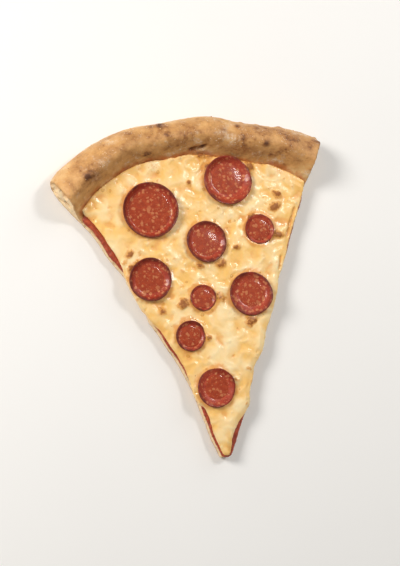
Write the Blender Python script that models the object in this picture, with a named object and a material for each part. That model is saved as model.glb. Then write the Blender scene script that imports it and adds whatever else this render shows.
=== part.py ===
"""A slice of pepperoni pizza: an eighth of a 406 mm pizza, lying flat with its tip towards -Y.

The layers are wedges stacked on one another: dough with its puffed rim, tomato sauce, melted cheese.
Nine cupped rounds of pepperoni sit in hollows of the cheese.
"""

import math
from bisect import bisect_right

import bmesh
import bpy
from mathutils import Vector, noise

MM = 0.001
DEGREE = math.pi / 180

# The slice as a whole
PIZZA_CENTRE = Vector((2.6, -103.0, 0)) * MM
HALF_ANGLE = 22.5 * DEGREE
CORNER_ANGLE = 25 * DEGREE
TIP_START = 3.6 * MM
TIP_BLUNTNESS = 0.35
TIP_BLUNT_LENGTH = 8 * MM
GAP = 0.3 * MM
SLOPE_CLEARANCE = 0.4 * MM
LEFT, RIGHT = -1, 1

# Heights of the layers under the toppings
BASE_TOP = 5.5 * MM
SAUCE_THICKNESS = 1.2 * MM
SAUCE_BOTTOM = BASE_TOP + GAP
SAUCE_TOP = SAUCE_BOTTOM + SAUCE_THICKNESS
CHEESE_BOTTOM = SAUCE_TOP + GAP
CHEESE_TOP = 10.1 * MM

# How far the dough stands out past each straight cut: (distance from the pizza's centre, outset) in mm
LEFT_CUT = (
    (4, 2.8), (10, 2.6), (18, 2.2), (25, 0.9), (34, -0.3), (43, -1.6), (50, -1.8), (63, -1.7),
    (72, -0.6), (82, 0.0), (91, 1.2), (97, 0.3), (108, 0.5), (119, 1.0), (134, 4.0), (151, 5.5),
    (164, 8.7), (175, 11.5), (184, 13.6), (193, 14.2),
)  # fmt: skip
RIGHT_CUT = (
    (4, 0.3), (13, 0.8), (25, 1.6), (36, 2.4), (43, 0.7), (50, 1.3), (58, 0.1), (67, 2.0), (83, 1.9),
    (95, 1.5), (109, 1.0), (118, 2.1), (144, 2.5), (162, 3.4), (174, 2.4), (186, 1.9), (200, 4.4),
)  # fmt: skip

# How far the cheese stands out past the dough at each cut, less than nothing where it has drawn back
LEFT_CHEESE = (
    (4, -0.9), (20, -1.5), (32, -1.7), (38, 1.0), (46, 1.1), (52, -0.2), (61, -0.9), (85, -0.7),
    (93, 0.7), (101, 2.0), (113, 2.0), (120, 1.3), (126, -1.2), (133, -3.0), (150, -3.0), (177, -3.6),
)  # fmt: skip
RIGHT_CHEESE = (
    (4, -1.4), (13, -3.2), (21, -2.8), (29, -0.8), (36, 0.2), (50, -0.6), (66, 0.3), (80, -0.5),
    (91, 0.7), (104, 0.9), (112, -0.4), (140, -1.0), (177, -1.3),
)  # fmt: skip
SAUCE_SET_BACK = 0.7 * MM

# Where the cheese hangs over by more than OOZE_FROM, it runs down the side to the height OOZE_REACH
OOZE_FROM = 0.7 * MM
OOZE_FULL = 1.6 * MM
OOZE_REACH = 3.0 * MM
OOZE_LIP = 1.4 * MM
OOZE_CLEARANCE = 0.4 * MM

# The rim: (degrees off the slice's middle, mm from the pizza's centre or above the floor)
RIM_OUTER = (
    (-28, 189.5), (-25, 194.0), (-21, 197.2), (-16, 200.9), (-11, 202.5), (-7, 201.8), (-2, 202.5),
    (3, 204.1), (9.4, 200.9), (13, 201.0), (18, 202.0), (22.5, 201.4), (25, 198.8),
)  # fmt: skip
RIM_INNER = (
    (-27, 165.0), (-21.7, 173.1), (-17, 177.3), (-11, 181.0), (-4.5, 180.5), (0.6, 182.0),
    (5, 179.4), (11.6, 177.9), (16, 178.3), (21, 175.8), (25, 172.5),
)  # fmt: skip
RIM_CROWN = ((-27, 21.5), (-18, 22.4), (-10, 21.2), (-2, 22.8), (6, 21.4), (14, 22.6), (25, 21.2))

# Bubbles in the rim: (degrees off the middle, share of the way over it, height mm, width mm)
RIM_PUFFS = (
    (-13.5, 0.60, 1.7, 9.0), (-5.0, 0.78, 1.2, 8.0), (3.0, 0.45, 1.3, 8.0), (10.5, 0.66, 1.6, 9.0),
    (18.5, 0.52, 1.4, 8.0), (-21.5, 0.50, 1.2, 7.0),
)  # fmt: skip
CROWN_SHARE = 0.57
SLOPE_AT_INNER_LINE = 0.633
RIM_BULGE_HEIGHT = 7.0 * MM
RIM_SHOULDER = 15 * DEGREE
RIM_UNDERCUT = 5.0 * MM
RIM_UNEVENNESS = 0.6 * MM
RIM_UNEVEN_SIZE = 13 * MM
RIM_GIRTH = 30 * MM

# Small forms of the cut faces and of the melted cheese
CRUMB_DEPTH = 0.35 * MM
RIM_CRUMB_DEPTH = 0.8 * MM
RIM_CRUMB_SHARE = 0.33
CRUMB_SIZE = 4.5 * MM
CHEESE_LUMP = 0.55 * MM
CHEESE_LUMP_SIZE = 13 * MM
CHEESE_EDGE_DROP = 0.9 * MM
CHEESE_EDGE_REACH = 3 * MM
CHEESE_RIM_LIP = 0.3 * MM
CHEESE_RIM_REACH = 12 * MM
CHEESE_END_ROUND = 0.9 * MM
CHEESE_TIP_SET_BACK = 1.4 * MM

# The cheese's side in rows from its top edge to its underside: how far each row stands in, its height
CHEESE_ROWS_IN = (1.0 * MM, 0, 0.1 * MM, 0.3 * MM, 0.7 * MM)
CHEESE_ROW_HEIGHTS = (CHEESE_TOP, 8.8 * MM, 8.1 * MM, 7.6 * MM, CHEESE_BOTTOM)
CHEESE_END_SHARPNESS = 12
SIDE_BLEND_START, SIDE_BLEND_WIDTH = 0.3, 0.4

# Pepperoni: distance from the pizza's centre (mm), degrees off the middle, radius (mm),
# the flat floor's share of the radius, the floor's shift to the right and towards the rim (mm)
PEPPERONI = (
    (152.7, -11.4, 16.2, 0.79, 0.0, 0.0),
    (164.6, 6.6, 14.6, 0.66, 0.0, 1.0),
    (128.1, 0.5, 12.1, 0.69, 0.0, 0.0),
    (137.6, 14.7, 8.8, 0.76, 0.0, 0.0),
    (114.7, -17.8, 12.5, 0.70, -0.3, 0.3),
    (95.7, -2.9, 7.6, 0.78, 0.0, 0.0),
    (98.2, 14.3, 12.9, 0.64, 0.8, 0.6),
    (75.9, -11.6, 8.8, 0.73, 0.0, 0.0),
    (43.0, -5.1, 11.3, 0.64, 0.5, 0.6),
)
PEPPERONI_THICKNESS = 1.7 * MM
PEPPERONI_SINK = 1.0 * MM
CUP_HEIGHT_SHARE = 0.25
CUP_STEEPNESS = 1.5
CUP_WAVE = 0.16
CUP_THIRD_WAVE = 0.6
CUP_TILT = 2.0 * DEGREE
CUP_EDGE_THINNING = 0.35
SEAT_CLEARANCE = 0.35 * MM
SEAT_TOP = 14 * MM

# Fineness of the meshes
END_CROWDING = 0.5
DOUGH_ALONG, DOUGH_ACROSS, DOUGH_ROWS = 56, 40, 5
RIM_STEPS = 18
BASE_STEPS = DOUGH_ALONG - RIM_STEPS
CHEESE_ALONG, CHEESE_ACROSS, CHEESE_ROWS = 46, 24, 4
SAUCE_ALONG, SAUCE_ACROSS, SAUCE_ROWS = 46, 24, 2
LARGE_ROUND = 10 * MM
LARGE_SIDES, SMALL_SIDES, CUP_STEPS = 24, 18, 3
SMOOTH_ANGLE = 50 * DEGREE


def mix(a, b, share):
    """The value a share of the way from a to b."""
    return a + (b - a) * share


def ease(share):
    """A share held to 0..1 and softened at both ends."""
    share = min(max(share, 0), 1)
    return share * share * (3 - 2 * share)


def crowded(share):
    """A share from 0 to 1 moved so that even steps of it come closer together near both ends."""
    return mix(share, (1 - math.cos(math.pi * share)) / 2, END_CROWDING)


def curve_through(knots, at):
    """The value at a place on a smooth curve through (place, value) knots, level beyond its ends."""
    places = [place for place, _ in knots]
    values = [value for _, value in knots]
    if at <= places[0]:
        return values[0]
    if at >= places[-1]:
        return values[-1]

    def slope(k):
        before, after = max(k - 1, 0), min(k + 1, len(knots) - 1)
        return (values[after] - values[before]) / (places[after] - places[before])

    left = bisect_right(places, at) - 1
    span = places[left + 1] - places[left]
    share = (at - places[left]) / span
    rise = values[left + 1] - values[left]
    start, finish = slope(left) * span - rise, rise - slope(left + 1) * span
    bend = share * (1 - share) * ((1 - share) * start + share * finish)
    return values[left] + share * rise + bend


def uneven(point, size, seed):
    """Smooth noise between about -1 and 1 whose lumps are of the given size."""
    return noise.noise(Vector(point) / size + Vector((7.3, 2.9, 5.1)) * seed)


# Places on the slice


def dough_outset(side, along):
    """How far the dough stands out past a straight cut, at a distance from the pizza's centre."""
    return curve_through(LEFT_CUT if side == LEFT else RIGHT_CUT, along / MM) * MM


def cheese_overhang(side, along):
    """How far the cheese stands out past the dough at a cut."""
    return curve_through(LEFT_CHEESE if side == LEFT else RIGHT_CHEESE, along / MM) * MM


def on_slice(reach, across, outset):
    """(angle off the middle, radius) of a share across the slice, from the left cut to the right one.

    reach gives the radius at an angle, and outset how far each side stands out at a distance along it.
    """
    sides = []
    for side in (LEFT, RIGHT):
        along = reach(side * CORNER_ANGLE)
        out = outset(side, along)
        sides.append((side * (HALF_ANGLE + math.atan2(out, along)), math.hypot(1, out / along)))
    angle = mix(sides[0][0], sides[1][0], across)
    radius = reach(angle)
    at_tip = math.exp((TIP_START - radius) / TIP_BLUNT_LENGTH)
    stretch = mix(sides[0][1], sides[1][1], across)
    blunt = 1 - TIP_BLUNTNESS * (1 - (2 * across - 1) ** 2)
    return angle, radius * mix(1, stretch * blunt, at_tip)


def world(angle, radius, height):
    """The point at an angle off the middle, a distance from the pizza's centre and a height."""
    return PIZZA_CENTRE + Vector((radius * math.sin(angle), radius * math.cos(angle), height))


# The rim


def rim_outer(angle):
    return curve_through(RIM_OUTER, angle / DEGREE) * MM


def rim_inner(angle):
    return curve_through(RIM_INNER, angle / DEGREE) * MM


def crown_height(angle):
    return curve_through(RIM_CROWN, angle / DEGREE) * MM


def crown_depth(angle):
    """How far the crown's highest line lies inside the outer edge."""
    return CROWN_SHARE * (rim_outer(angle) - rim_inner(angle))


def slope_length(angle):
    """How far the rim's inner slope runs in, from the crown to the flat base."""
    return (rim_outer(angle) - rim_inner(angle) - crown_depth(angle)) / SLOPE_AT_INNER_LINE


def rim_foot(angle):
    return rim_outer(angle) - crown_depth(angle) - slope_length(angle)


def slope_radius(angle, height):
    """Where the rim's inner slope reaches a height above the base."""
    rise = (height - BASE_TOP) / (crown_height(angle) - BASE_TOP)
    share = math.acos(2 * rise - 1) / math.pi
    return rim_outer(angle) - crown_depth(angle) - slope_length(angle) * share


def slope_height(angle, radius):
    """The height of the rim's inner slope at a radius between its foot and the crown."""
    share = (rim_outer(angle) - crown_depth(angle) - radius) / slope_length(angle)
    return BASE_TOP + (crown_height(angle) - BASE_TOP) * (1 + math.cos(math.pi * share)) / 2


def beside_slope(angle, height):
    """The radius at which a layer of this height stops short of the rim's inner slope."""
    return slope_radius(angle, max(height - GAP, BASE_TOP)) - SLOPE_CLEARANCE


def rim_top(angle, share):
    """(distance in from the outer edge, height) on the rim's upper side, from its foot to its shoulder."""
    depth, height = crown_depth(angle), crown_height(angle)
    if share <= 0.5:
        down = 1 - 2 * share
        rise = (1 + math.cos(math.pi * down)) / 2
        return depth + slope_length(angle) * down, BASE_TOP + (height - BASE_TOP) * rise
    turn = mix(math.pi / 2, RIM_SHOULDER, 2 * share - 1)
    return depth * (1 - math.cos(turn)), RIM_BULGE_HEIGHT + (height - RIM_BULGE_HEIGHT) * math.sin(turn)


def rim_wall(angle, up):
    """(distance in, height) on the rim's outer side, from the flat underside (0) to the shoulder (1)."""
    turn = mix(-math.pi / 2, RIM_SHOULDER, up)
    if turn < 0:
        return RIM_UNDERCUT * (1 - math.cos(turn)), RIM_BULGE_HEIGHT * (1 + math.sin(turn))
    height = crown_height(angle)
    depth = crown_depth(angle) * (1 - math.cos(turn))
    return depth, RIM_BULGE_HEIGHT + (height - RIM_BULGE_HEIGHT) * math.sin(turn)


def rim_point(angle, share, up):
    """(distance in, height) inside the rim's section: up is 0 on the underside and 1 on the upper side."""
    top_in, top = rim_top(angle, share)
    bottom_in = mix(crown_depth(angle) + slope_length(angle), RIM_UNDERCUT, share)
    edge_in, edge = rim_top(angle, 1)
    wall_in, wall = rim_wall(angle, up)
    bulge = share**3
    inward = mix(bottom_in, top_in, up) + bulge * (wall_in - mix(RIM_UNDERCUT, edge_in, up))
    height = mix(0, top, up) + bulge * (wall - edge * up)
    return inward, height


def rim_relief(angle, share):
    """How far the rim's skin is puffed up there, by its big bubbles and its unevenness."""
    spot = (angle * rim_outer(angle), share * RIM_GIRTH, 0)
    rise = RIM_UNEVENNESS * uneven(spot, RIM_UNEVEN_SIZE, 1)
    for puff_angle, puff_share, puff_height, puff_width in RIM_PUFFS:
        sideways = (angle - puff_angle * DEGREE) * rim_outer(angle)
        over = (share - puff_share) * RIM_GIRTH
        rise += puff_height * MM * math.exp(-(sideways**2 + over**2) / (puff_width * MM) ** 2)
    return rise * math.sqrt(math.sin(math.pi * share)) if 0 < share < 1 else 0


# The layers, each as a rule that gives the point for shares along, across and up


def dough_point(along_share, across, up):
    step = along_share * DOUGH_ALONG - BASE_STEPS
    across = crowded(across)
    on_rim = step / RIM_STEPS
    crumb_depth = mix(CRUMB_DEPTH, RIM_CRUMB_DEPTH, ease(on_rim / RIM_CRUMB_SHARE)) if 0 < up < 1 else 0
    height = rim_point(0, on_rim, up)[1] if step > 0 else BASE_TOP * up

    def reach(angle):
        if step > 0:
            return rim_outer(angle) - rim_point(angle, on_rim, up)[0]
        return mix(TIP_START, rim_foot(angle), 1 + step / BASE_STEPS)

    def outset(side, along):
        return dough_outset(side, along) + crumb_depth * uneven((side, along, height), CRUMB_SIZE, 2)

    angle, radius = on_slice(reach, across, outset)
    if step > 0:
        height = rim_point(angle, on_rim, up)[1] + rim_relief(angle, on_rim) * up
    return world(angle, radius, height)


def sauce_outset(side, along):
    return dough_outset(side, along) - SAUCE_SET_BACK


def sauce_point(along_share, across, up):
    height = mix(SAUCE_BOTTOM, SAUCE_TOP, up)

    def reach(angle):
        return mix(TIP_START + SAUCE_SET_BACK, beside_slope(angle, height), along_share)

    angle, radius = on_slice(reach, across, sauce_outset)
    return world(angle, radius, height)


def cheese_wall(side, along, row):
    """(outset, height) of a row of the cheese's side, from its top edge (0) to its underside (4).

    Where the cheese hangs over by more than a little, it runs down past the sauce and the dough.
    """
    overhang, dough = cheese_overhang(side, along), dough_outset(side, along)
    ooze = ease((overhang - OOZE_FROM) / (OOZE_FULL - OOZE_FROM))
    out = dough + overhang - CHEESE_ROWS_IN[row]
    if row > 2:
        out = mix(out, dough + OOZE_CLEARANCE, ooze)
    run_down = (None, None, OOZE_REACH + OOZE_LIP, OOZE_REACH, None)[row]
    height = CHEESE_ROW_HEIGHTS[row]
    return out, mix(height, run_down, ooze) if run_down else height


def cheese_surface(point, to_edge, to_rim, rim_line):
    """The height of the cheese's upper side, given its distances from a cut edge and from the rim."""
    near_rim = 1 - ease(to_rim / CHEESE_RIM_REACH)
    lumps = CHEESE_LUMP * uneven((point.x, point.y, 0), CHEESE_LUMP_SIZE, 3)
    drop = CHEESE_EDGE_DROP * (1 - ease(to_edge / CHEESE_EDGE_REACH))
    height = CHEESE_TOP + lumps - drop
    return mix(height, rim_line + CHEESE_RIM_LIP, near_rim**2)


def cheese_point(along_share, across, up):
    row = round((1 - up) * CHEESE_ROWS)
    across = crowded(across)
    start = TIP_START + CHEESE_TIP_SET_BACK + CHEESE_ROWS_IN[row]

    def end_height(angle):
        rim_line = slope_height(angle, rim_inner(angle))
        return mix(rim_line, CHEESE_BOTTOM, (row - 1) / (CHEESE_ROWS - 1))

    def end(angle):
        return beside_slope(angle, end_height(angle)) if row else rim_inner(angle) - CHEESE_END_ROUND

    def reach(angle):
        return mix(start, end(angle), along_share)

    def outset(side, along):
        return cheese_wall(side, along, row)[0]

    angle, radius = on_slice(reach, across, outset)
    if row:
        left = cheese_wall(LEFT, reach(-CORNER_ANGLE), row)[1]
        right = cheese_wall(RIGHT, reach(CORNER_ANGLE), row)[1]
        side_height = mix(left, right, ease((across - SIDE_BLEND_START) / SIDE_BLEND_WIDTH))
        return world(angle, radius, mix(side_height, end_height(angle), along_share**CHEESE_END_SHARPNESS))
    point = world(angle, radius, 0)
    to_cut = cut_to_cut(radius) * radius * min(across, 1 - across)
    rim_line = slope_height(angle, rim_inner(angle))
    point.z = cheese_surface(point, to_cut, end(angle) - radius, rim_line)
    return point


def cut_to_cut(along):
    """The angle that the cheese spans, at a distance from the pizza's centre."""
    left = dough_outset(LEFT, along) + cheese_overhang(LEFT, along)
    right = dough_outset(RIGHT, along) + cheese_overhang(RIGHT, along)
    return 2 * HALF_ANGLE + (left + right) / along


def layer(name, along, across, rows, rule, look):
    """A closed body: a grid on its upper side, walls drawn down from its border, one flat face below."""
    body = bmesh.new()
    bmesh.ops.create_grid(body, x_segments=across, y_segments=along, size=0.5)
    shares = {}
    for corner in body.verts:
        along_share = round((corner.co.y + 0.5) * along) / along
        across_share = round((corner.co.x + 0.5) * across) / across
        shares[corner] = (along_share, across_share, 1)
    ring = [edge for edge in body.edges if edge.is_boundary]
    for row in range(1, rows + 1):
        made = bmesh.ops.extrude_edge_only(body, edges=ring)["geom"]
        lower = {}
        for corner in (item for item in made if isinstance(item, bmesh.types.BMVert)):
            nearby = [edge.other_vert(corner) for edge in corner.link_edges]
            above = next(other for other in nearby if other in shares)
            lower[corner] = (*shares[above][:2], 1 - row / rows)
        shares.update(lower)
        drawn = [item for item in made if isinstance(item, bmesh.types.BMEdge)]
        ring = [edge for edge in drawn if all(corner in lower for corner in edge.verts)]
    bmesh.ops.holes_fill(body, edges=ring, sides=0)
    for corner, place in shares.items():
        corner.co = rule(*place)
    bmesh.ops.recalc_face_normals(body, faces=body.faces)
    return finished(name, body, look)


def finished(name, body, look):
    """An object in the scene with this mesh and material, smooth where its faces nearly meet."""
    mesh = bpy.data.meshes.new(name)
    body.to_mesh(mesh)
    body.free()
    mesh.shade_smooth()
    mesh.set_sharp_from_angle(angle=SMOOTH_ANGLE)
    mesh.materials.append(look)
    thing = bpy.data.objects.new(name, mesh)
    bpy.context.scene.collection.objects.link(thing)
    return thing


# Pepperoni


def cup_side(radius, floor, height):
    """(share of the way up, radius, height, slope) at each step up a cup's side, from its floor."""
    for step in range(CUP_STEPS + 1):
        share = step / CUP_STEPS
        rise = CUP_STEEPNESS * height * share ** (CUP_STEEPNESS - 1)
        up = height * share**CUP_STEEPNESS
        yield share, mix(floor, radius, share), up, math.atan2(rise, radius - floor)


def cup_profile(radius, floor, height, thickness):
    """(radius, height) pairs of a cup's section, out along its underside and back along its upper side."""
    edge_steep = math.atan2(CUP_STEEPNESS * height, radius - floor)
    edge_wall = thickness * (1 - CUP_EDGE_THINNING)
    edge_out, edge_up = radius - edge_wall * math.sin(edge_steep), edge_wall * math.cos(edge_steep)
    under, over = [(0, 0)], [(0, thickness)]
    for share, out, up, _ in cup_side(radius, floor, height):
        under.append((out, up))
        over.append((mix(floor, edge_out, share), up + mix(thickness, edge_up, share)))
    return under + over[::-1]


def seat_profile(radius, floor, height):
    """(radius, height) pairs of the hollow for a cup: its underside moved out, with straight sides above."""
    under = [(0, -SEAT_CLEARANCE)]
    for _, out, up, steep in cup_side(radius, floor, height):
        under.append((out + SEAT_CLEARANCE * math.sin(steep), up - SEAT_CLEARANCE * math.cos(steep)))
    return under + [(radius + SEAT_CLEARANCE, SEAT_TOP), (0, SEAT_TOP)]


def turned(profile, sides, radius, floor, shift, number):
    """A profile spun round the upright axis, then given the wavy edge and off-centre floor of one round."""
    body = bmesh.new()
    corners = [body.verts.new((out, 0, up)) for out, up in profile]
    edges = [body.edges.new(pair) for pair in zip(corners, corners[1:])]
    bmesh.ops.spin(
        body,
        geom=corners + edges,
        cent=(0, 0, 0),
        axis=(0, 0, 1),
        angle=2 * math.pi,
        steps=sides,
        use_merge=True,
    )
    bmesh.ops.remove_doubles(body, verts=body.verts, dist=0.01 * MM)
    for corner in body.verts:
        out, turn = math.hypot(corner.co.x, corner.co.y), math.atan2(corner.co.y, corner.co.x)
        to_edge = min(max((out - floor) / (radius - floor), 0), 1)
        wave = math.sin(2 * turn + 2.1 * number)
        wave += CUP_THIRD_WAVE * math.sin(3 * turn + 1.3 * number)
        if corner.co.z < SEAT_TOP - MM:
            corner.co.z *= 1 + CUP_WAVE * wave * to_edge
        corner.co.x += shift[0] * (1 - to_edge)
        corner.co.y += shift[1] * (1 - to_edge)
    bmesh.ops.recalc_face_normals(body, faces=body.faces)
    return body


def pepperoni(number, look, seats):
    """One cupped round and, in the collection of seats, the shape of its hollow in the cheese."""
    distance, angle, radius, floor_share, shift_x, shift_y = PEPPERONI[number - 1]
    radius *= MM
    floor, height = floor_share * radius, CUP_HEIGHT_SHARE * radius
    shift = (shift_x * MM, shift_y * MM)
    sides = LARGE_SIDES if radius > LARGE_ROUND else SMALL_SIDES
    profile = cup_profile(radius, floor, height, PEPPERONI_THICKNESS)
    cup = finished(f"pepperoni_{number}", turned(profile, sides, radius, floor, shift, number), look)
    hollow = turned(seat_profile(radius, floor, height), sides, radius, floor, shift, number)
    seat = finished(f"seat_{number}", hollow, look)
    for thing in (cup, seat):
        thing.location = world(angle * DEGREE, distance * MM, CHEESE_TOP - PEPPERONI_SINK)
        thing.rotation_euler = (CUP_TILT * math.sin(1.7 * number), CUP_TILT * math.cos(2.3 * number), 0)
    bpy.context.scene.collection.objects.unlink(seat)
    seats.objects.link(seat)
    seat.hide_render = True
    seat.display_type = "WIRE"


def material(name, colour, roughness):
    made = bpy.data.materials.new(name)
    made.use_nodes = True
    shader = made.node_tree.nodes["Principled BSDF"]
    shader.inputs["Base Color"].default_value = (*colour, 1)
    shader.inputs["Roughness"].default_value = roughness
    shader.inputs["Metallic"].default_value = 0
    made.diffuse_color = (*colour, 1)
    return made


def main():
    for thing in list(bpy.data.objects):
        bpy.data.objects.remove(thing)
    crust = material("baked dough", (0.62, 0.36, 0.14), 0.75)
    tomato = material("tomato sauce", (0.45, 0.06, 0.02), 0.35)
    melted = material("melted cheese", (0.86, 0.62, 0.25), 0.4)
    meat = material("pepperoni", (0.42, 0.08, 0.04), 0.4)
    seats = bpy.data.collections.new("seats")
    bpy.context.scene.collection.children.link(seats)

    layer("dough", DOUGH_ALONG, DOUGH_ACROSS, DOUGH_ROWS, dough_point, crust)
    layer("tomato_sauce", SAUCE_ALONG, SAUCE_ACROSS, SAUCE_ROWS, sauce_point, tomato)
    cheese = layer("cheese", CHEESE_ALONG, CHEESE_ACROSS, CHEESE_ROWS, cheese_point, melted)
    for number in range(1, len(PEPPERONI) + 1):
        pepperoni(number, meat, seats)
    hollows = cheese.modifiers.new("pepperoni seats", "BOOLEAN")
    hollows.operation = "DIFFERENCE"
    hollows.operand_type = "COLLECTION"
    hollows.collection = seats
    hollows.solver = "EXACT"


main()
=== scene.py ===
"""A slice of pepperoni pizza lying on a pale table: puffed rim, tomato sauce, melted cheese, cupped rounds.

Sizes are in metres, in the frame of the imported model.
"""

import math

import bmesh
import bpy
from bpy.props import FloatProperty, FloatVectorProperty, IntProperty, PointerProperty
from bpy.types import Operator, Panel, PropertyGroup
from mathutils import Matrix, Vector


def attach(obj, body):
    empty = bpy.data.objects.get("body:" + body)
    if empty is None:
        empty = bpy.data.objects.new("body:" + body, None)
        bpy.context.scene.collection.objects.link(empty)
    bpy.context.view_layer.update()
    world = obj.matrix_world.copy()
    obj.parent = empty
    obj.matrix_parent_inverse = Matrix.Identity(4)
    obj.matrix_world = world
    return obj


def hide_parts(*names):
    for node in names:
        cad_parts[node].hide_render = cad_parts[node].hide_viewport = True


bl_info = {
    "name": "Slice of pizza",
    "version": (1, 0, 0),
    "blender": (4, 5, 0),
    "location": "3D View > Sidebar > Pizza",
    "description": "Builds a baked slice of pepperoni pizza over its packed model",
    "category": "Add Mesh",
}

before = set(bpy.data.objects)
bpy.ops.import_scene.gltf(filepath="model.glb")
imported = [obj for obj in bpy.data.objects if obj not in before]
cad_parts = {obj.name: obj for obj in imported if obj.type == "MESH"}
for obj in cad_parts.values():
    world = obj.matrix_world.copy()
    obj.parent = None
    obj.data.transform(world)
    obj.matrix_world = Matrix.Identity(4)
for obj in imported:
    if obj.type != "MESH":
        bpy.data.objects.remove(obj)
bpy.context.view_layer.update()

MM = 0.001
DEGREE = math.pi / 180
UP = (0.0, 0.0, 1.0)
IN_PLAN = (1.0, 1.0, 0.0)
ROUNDS = [f"pepperoni_{number}" for number in range(1, 10)]

COARSENESS = 1

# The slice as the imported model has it
PIZZA_CENTRE = (2.6 * MM, -103.0 * MM, 0.0)
CHEESE_TOP = 10.1 * MM
MERGE_DISTANCE = 0.01 * MM

# What isn't baked skin on the dough: the cut faces, the tip's end and what the sauce covers
CUT_FACING = 0.7
TIP_REACH = 12 * MM
TIP_LEVEL = 0.5
SAUCE_REACH = 165 * MM
SAUCE_LEVEL = 0.9

# Distances from the pizza's centre at which a change starts and is complete
TIP_END = (16 * MM, 9 * MM)
RIM_FOOT = (158 * MM, 172 * MM)
BROWNER_CHEESE = (168 * MM, 180 * MM)
STREWN_RIM = (178 * MM, 186 * MM)

# Rounds: distance from the pizza's centre (mm), degrees off the middle, radius (mm),
# the floor's share of the radius, the floor's shift to the right and towards the rim (mm)
PEPPERONI = (
    (152.7, -11.4, 16.2, 0.79, 0.0, 0.0),
    (164.6, 6.6, 14.6, 0.66, 0.0, 1.0),
    (128.1, 0.5, 12.1, 0.69, 0.0, 0.0),
    (137.6, 14.7, 8.8, 0.76, 0.0, 0.0),
    (114.7, -17.8, 12.5, 0.70, -0.3, 0.3),
    (95.7, -2.9, 7.6, 0.78, 0.0, 0.0),
    (98.2, 14.3, 12.9, 0.64, 0.8, 0.6),
    (75.9, -11.6, 8.8, 0.73, 0.0, 0.0),
    (43.0, -5.1, 11.3, 0.64, 0.5, 0.6),
)
CUP_HEIGHT_SHARE = 0.25
CUP_TILT = 2.0 * DEGREE
PEPPERONI_SINK = 1.35 * MM

# Puts the blisters of the crust where they fall well
CRUST_PATTERN_SHIFT = (1.5 * MM, 1.5 * MM, 1.5 * MM)

# The short crease along the rim's foot: its middle, half its length and its run outwards to the right
CREASE_RADIUS = 183.6 * MM
CREASE_ANGLE = 0.6 * DEGREE
CREASE_REACH = 2.2 * DEGREE
CREASE_RISE = 0.02

# The two short folds along the right edge of the cheese: their ends (mm)
CHEESE_FOLDS = (((61.5, 41.0), (54.7, 25.1)), ((49.1, 12.6), (46.9, 5.6)))

# Colours that come in only here and there
FLOUR_DUST = (0.90, 0.80, 0.64)
# Painted shade in the holes of the cut crumb
PAINTED_HOLE_SHADE = (0.58, 0.29, 0.09)
BAKED_EDGE = (0.52, 0.26, 0.08)
SAUCE_STAIN = (0.50, 0.13, 0.03)
PULP_BIT = (0.62, 0.16, 0.04)
FLOUR_SHADES = ((0.90, 0.84, 0.72), (0.80, 0.70, 0.52))
CRUMB_SHADES = ((0.68, 0.42, 0.17), (0.40, 0.17, 0.05))

# The pools of oil: their share of a cup's floor, and the faces round and across a pool
POOL_SHARE = 0.99
POOL_SEGMENTS = 64
POOL_RINGS = 16

# Grains: smallest and largest radius, height as a share of the radius, subdivisions, depth sunk
OIL_BEAD = (0.35 * MM, 1.3 * MM, 0.3, 2, 0.05 * MM)
FLOUR_SPECK = (0.08 * MM, 0.26 * MM, 0.6, 1, 0.0)
TOASTED_CRUMB = (0.25 * MM, 0.6 * MM, 0.8, 2, 0.0)
PLACE_SEED = 4
SIZE_SEED = 7
STRETCH_SEED = 11

# Lights: place, width and colour
KEY_LIGHT = ((-0.62, 0.32, 0.60), 0.35, (1.0, 0.97, 0.93))
GLOSS_LIGHT = ((0.38, 0.26, 0.71), 0.15, (1.0, 0.99, 0.97))
FILL_LIGHT = ((0.62, 0.45, 0.55), 0.8, (1.0, 0.98, 0.95))
SKY_COLOUR = (1.0, 0.985, 0.965, 1.0)

# The table: half its width, and how far it lies below the slice
TABLE_REACH = 2.5
TABLE_DROP = 0.2 * MM

# The camera: the point it looks at, the direction back to it, its lens, and how near and far it sees
AIM = Vector((0.1, 2.6, 0.0)) * MM
CAMERA_LEAN = 17 * DEGREE
CAMERA_SIDE = 20 * DEGREE
CAMERA_ROLL = 7.4 * DEGREE
CAMERA_DISTANCE = 0.79
LENS_MM = 85
SENSOR_MM = 36
NEAREST = 0.05
FARTHEST = 20


# Node trees


class Value:
    """A socket of a node tree that can be used in Python sums."""

    def __init__(self, nodes, socket):
        self.nodes, self.socket = nodes, socket

    def __add__(self, other):
        return self.nodes.sum("ADD", self, other)

    def __radd__(self, other):
        return self.nodes.sum("ADD", other, self)

    def __sub__(self, other):
        return self.nodes.sum("SUBTRACT", self, other)

    def __rsub__(self, other):
        return self.nodes.sum("SUBTRACT", other, self)

    def __mul__(self, other):
        return self.nodes.sum("MULTIPLY", self, other)

    def __rmul__(self, other):
        return self.nodes.sum("MULTIPLY", other, self)

    def __truediv__(self, other):
        return self.nodes.sum("DIVIDE", self, other)

    def __pow__(self, power):
        return self.nodes.number("POWER", self, power)

    def __abs__(self):
        return self.nodes.number("ABSOLUTE", self)

    def output(self, name):
        """Another output of the same node."""
        return Value(self.nodes, self.socket.node.outputs[name])


def is_vector(value):
    """Whether sums with this value need vector nodes, as they do with a colour too."""
    return isinstance(value, tuple) or (isinstance(value, Value) and value.socket.type in {"VECTOR", "RGBA"})


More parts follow.
